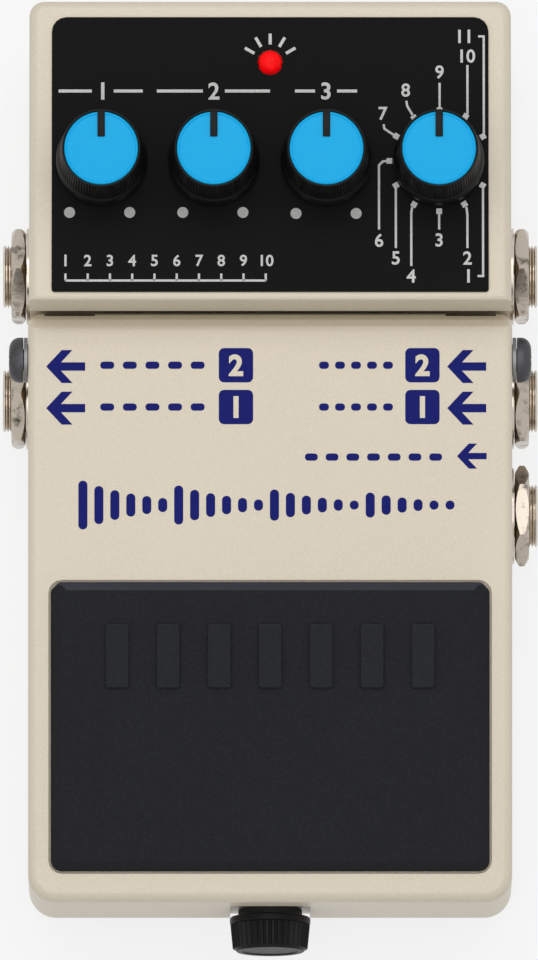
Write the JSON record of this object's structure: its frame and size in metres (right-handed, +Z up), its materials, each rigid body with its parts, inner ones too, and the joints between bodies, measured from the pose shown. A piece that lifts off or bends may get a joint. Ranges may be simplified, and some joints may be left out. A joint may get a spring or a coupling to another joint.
{
  "type": "delay pedal",
  "caption": "Compact floor effects pedal: die-cast base, raised panel with toothed knobs and a red light, hinged treadle with a rubber pad, side jacks.",
  "frame": {"origin": "centre of the bounding box on the floor, under the middle of the rubber mat", "axes": "+X to the pedal's right, +Y to its back (the panel end), +Z up"},
  "size_m": [0.0738, 0.1284, 0.059],
  "materials": {
    "pearl_paint": "pearl beige paint with fine flake, satin clear coat",
    "zinc_steel": "zinc-plated steel",
    "black_rubber": "black rubber, matt",
    "black_label": "black screen-printed film, satin",
    "red_lens": "clear red plastic",
    "board_green": "glass-fibre board with green resist",
    "ribbon_grey": "grey flat cable",
    "black_plastic": "moulded black plastic, satin",
    "blue_cap": "sky-blue plastic, satin",
    "nickel": "nickel plate",
    "black_steel": "black plated steel",
    "white_nylon": "natural nylon",
    "battery_sleeve": "plain dark metal sleeve",
    "red_wire": "red insulated wire"
  },
  "bodies": {
    "base": {"base_casting": "pearl_paint", "bottom_plate": "zinc_steel", "rubber_mat": "black_rubber", "bottom_screw_rear_left": "zinc_steel", "bottom_screw_rear_right": "zinc_steel", "bottom_screw_front_left": "zinc_steel", "bottom_screw_front_right": "zinc_steel", "panel_label": "black_label", "led_lens": "red_lens", "main_board": "board_green", "jack_board": "board_green", "board_ribbon": "ribbon_grey", "pot_level": "zinc_steel", "pot_feedback": "zinc_steel", "pot_time": "zinc_steel", "mode_switch": "zinc_steel", "jack_output_b": "black_plastic", "jack_output_a": "black_plastic", "jack_input_b": "black_plastic", "jack_input_a": "black_plastic", "jack_expression": "black_plastic", "jack_washer_output_b": "nickel", "jack_washer_output_a": "nickel", "jack_washer_input_b": "nickel", "jack_washer_input_a": "nickel", "jack_washer_expression": "nickel", "jack_nut_output_b": "nickel", "jack_nut_output_a": "nickel", "jack_nut_input_b": "nickel", "jack_nut_input_a": "nickel", "jack_nut_expression": "nickel", "power_socket": "black_plastic", "foot_switch": "black_plastic", "switch_boot": "black_rubber", "return_spring": "nickel", "guide_bush": "white_nylon", "battery": "battery_sleeve", "battery_snap": "black_plastic", "battery_lead_red": "red_wire", "battery_lead_black": "black_rubber", "hinge_bush_left": "zinc_steel", "hinge_bush_right": "zinc_steel", "hinge_screw_left": "black_steel", "hinge_screw_right": "black_steel"},
    "treadle": {"treadle_casting": "pearl_paint", "treadle_pad": "black_rubber", "spring_cup": "white_nylon"},
    "thumbscrew_ring": {"thumbscrew_washer": "white_nylon"},
    "thumbscrew": {"thumbscrew": "black_plastic"},
    "foot_button": {"switch_stem": "white_nylon"},
    "level_knob": {"knob_level": "black_plastic", "knob_cap_level": "blue_cap"},
    "feedback_knob": {"knob_feedback": "black_plastic", "knob_cap_feedback": "blue_cap"},
    "time_knob": {"knob_time": "black_plastic", "knob_cap_time": "blue_cap"},
    "mode_knob": {"knob_mode": "black_plastic", "knob_cap_mode": "blue_cap"}
  },
  "joints": [
    {"name": "treadle_hinge", "type": "hinge", "parent": "base", "child": "treadle", "pos_m": [0, 0.01527, 0.034], "axis": [-1, 0, 0], "range_deg": [-3.5, 75], "stiffness_Nm_per_rad": 8, "springref_deg": 0.15, "deforming": ["return_spring", "switch_boot"]},
    {"name": "thumbscrew_slide", "type": "slide", "parent": "treadle", "child": "thumbscrew_ring", "axis": [0, -1, 0], "range_m": [0, 0.006]},
    {"name": "thumbscrew_turn", "type": "hinge", "parent": "thumbscrew_ring", "child": "thumbscrew", "pos_m": [0, -0.0595, 0.015], "axis": [0, -1, 0], "range_deg": [0, 2700]},
    {"name": "foot_button_press", "type": "slide", "parent": "base", "child": "foot_button", "axis": [0, 0, -1], "range_m": [0, 0.001], "stiffness_N_per_m": 300},
    {"name": "level_turn", "type": "hinge", "parent": "base", "child": "level_knob", "pos_m": [-0.0231, 0.0406, 0.0484], "axis": [0, 0, 1], "range_deg": [-150, 150]},
    {"name": "feedback_turn", "type": "hinge", "parent": "base", "child": "feedback_knob", "pos_m": [-0.0077, 0.0406, 0.0484], "axis": [0, 0, 1], "range_deg": [-150, 150]},
    {"name": "time_turn", "type": "hinge", "parent": "base", "child": "time_knob", "pos_m": [0.0077, 0.0406, 0.0484], "axis": [0, 0, 1], "range_deg": [-150, 150]},
    {"name": "mode_turn", "type": "hinge", "parent": "base", "child": "mode_knob", "pos_m": [0.0231, 0.0406, 0.0484], "axis": [0, 0, 1], "range_deg": [-60, 240]}
  ],
  "couplings": [
    {"joint": "thumbscrew_turn", "follows": "thumbscrew_slide", "rad_per_m": 7853.9}
  ]
}
